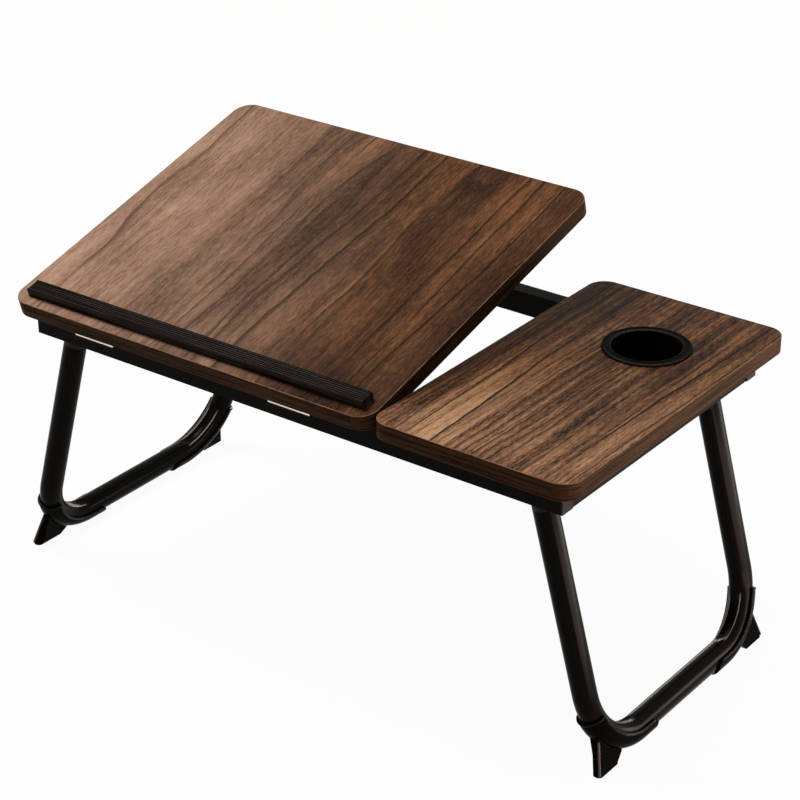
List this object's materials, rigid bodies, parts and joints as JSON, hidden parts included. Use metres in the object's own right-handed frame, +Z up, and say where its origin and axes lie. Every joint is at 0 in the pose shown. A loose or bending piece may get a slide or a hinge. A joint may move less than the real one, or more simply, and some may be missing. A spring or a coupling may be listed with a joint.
{
  "type": "folding laptop desk",
  "caption": "Folding laptop desk: a tilting board with a stop ledge and a fixed side board with a cup holder on a rail frame with two fold-in U-shaped tube legs.",
  "frame": {"origin": "on the floor under the middle of the top", "axes": "+X to the user's right, -Y towards the user, +Z up"},
  "size_m": [0.7646, 0.41, 0.4262],
  "materials": {
    "frame_steel": "satin black powder coat",
    "leg_steel": "satin black powder coat",
    "walnut_board": "walnut laminate, satin",
    "cap_plastic": "moulded, dark grey",
    "foot_plastic": "moulded, glossy black",
    "ledge_plastic": "grooved, black",
    "cup_plastic": "glossy black",
    "hinge_steel": "bright zinc",
    "fastener_steel": "zinc plated",
    "prop_steel": "satin black",
    "bearing_plastic": "moulded, black"
  },
  "bodies": {
    "frame": {"front_rail": "frame_steel", "rear_rail": "frame_steel", "left_side_rail": "frame_steel", "right_side_rail": "frame_steel", "seam_rail": "frame_steel", "left_prop_rail": "frame_steel", "right_prop_rail": "frame_steel", "rail_end_caps": "cap_plastic", "side_board": "walnut_board", "side_board_screws": "fastener_steel", "cup_holder": "cup_plastic", "left_rack": "bearing_plastic", "right_rack": "bearing_plastic", "rack_screws": "fastener_steel", "left_hinge_fixed_leaf": "hinge_steel", "right_hinge_fixed_leaf": "hinge_steel", "hinge_pins": "hinge_steel", "fixed_leaf_screws": "hinge_steel", "left_front_bracket": "frame_steel", "right_front_bracket": "frame_steel", "left_rear_bracket": "frame_steel", "right_rear_bracket": "frame_steel", "bracket_screws": "fastener_steel", "leg_pivot_pins": "fastener_steel"},
    "tilt_top": {"tilting_board": "walnut_board", "stop_ledge": "ledge_plastic", "ledge_screws": "fastener_steel", "left_hinge_moving_leaf": "hinge_steel", "right_hinge_moving_leaf": "hinge_steel", "moving_leaf_screws": "hinge_steel", "left_saddle": "bearing_plastic", "right_saddle": "bearing_plastic", "saddle_screws": "fastener_steel"},
    "prop": {"prop_bail": "prop_steel"},
    "left_leg": {"left_leg_tube": "leg_steel", "left_front_plug": "bearing_plastic", "left_rear_plug": "bearing_plastic", "left_front_foot": "foot_plastic", "left_rear_foot": "foot_plastic", "left_foot_screws": "fastener_steel"},
    "right_leg": {"right_leg_tube": "leg_steel", "right_front_plug": "bearing_plastic", "right_rear_plug": "bearing_plastic", "right_front_foot": "foot_plastic", "right_rear_foot": "foot_plastic", "right_foot_screws": "fastener_steel"}
  },
  "joints": [
    {"name": "board_tilt", "type": "hinge", "parent": "frame", "child": "tilt_top", "pos_m": [0, -0.1869, 0.3039], "axis": [1, 0, 0], "range_deg": [-15.2, 20.8]},
    {"name": "prop_swing", "type": "hinge", "parent": "tilt_top", "child": "prop", "pos_m": [-0.1145, -0.04124, 0.33974], "axis": [1, 0, 0], "range_deg": [-41.6, 30.4]},
    {"name": "left_leg_fold", "type": "hinge", "parent": "frame", "child": "left_leg", "pos_m": [-0.299, 0, 0.264], "axis": [0, -1, 0], "range_deg": [0, 104]},
    {"name": "right_leg_fold", "type": "hinge", "parent": "frame", "child": "right_leg", "pos_m": [0.299, 0, 0.264], "axis": [0, 1, 0], "range_deg": [0, 104]}
  ],
  "couplings": [
    {"joint": "prop_swing", "follows": "board_tilt", "ratio": -2}
  ]
}
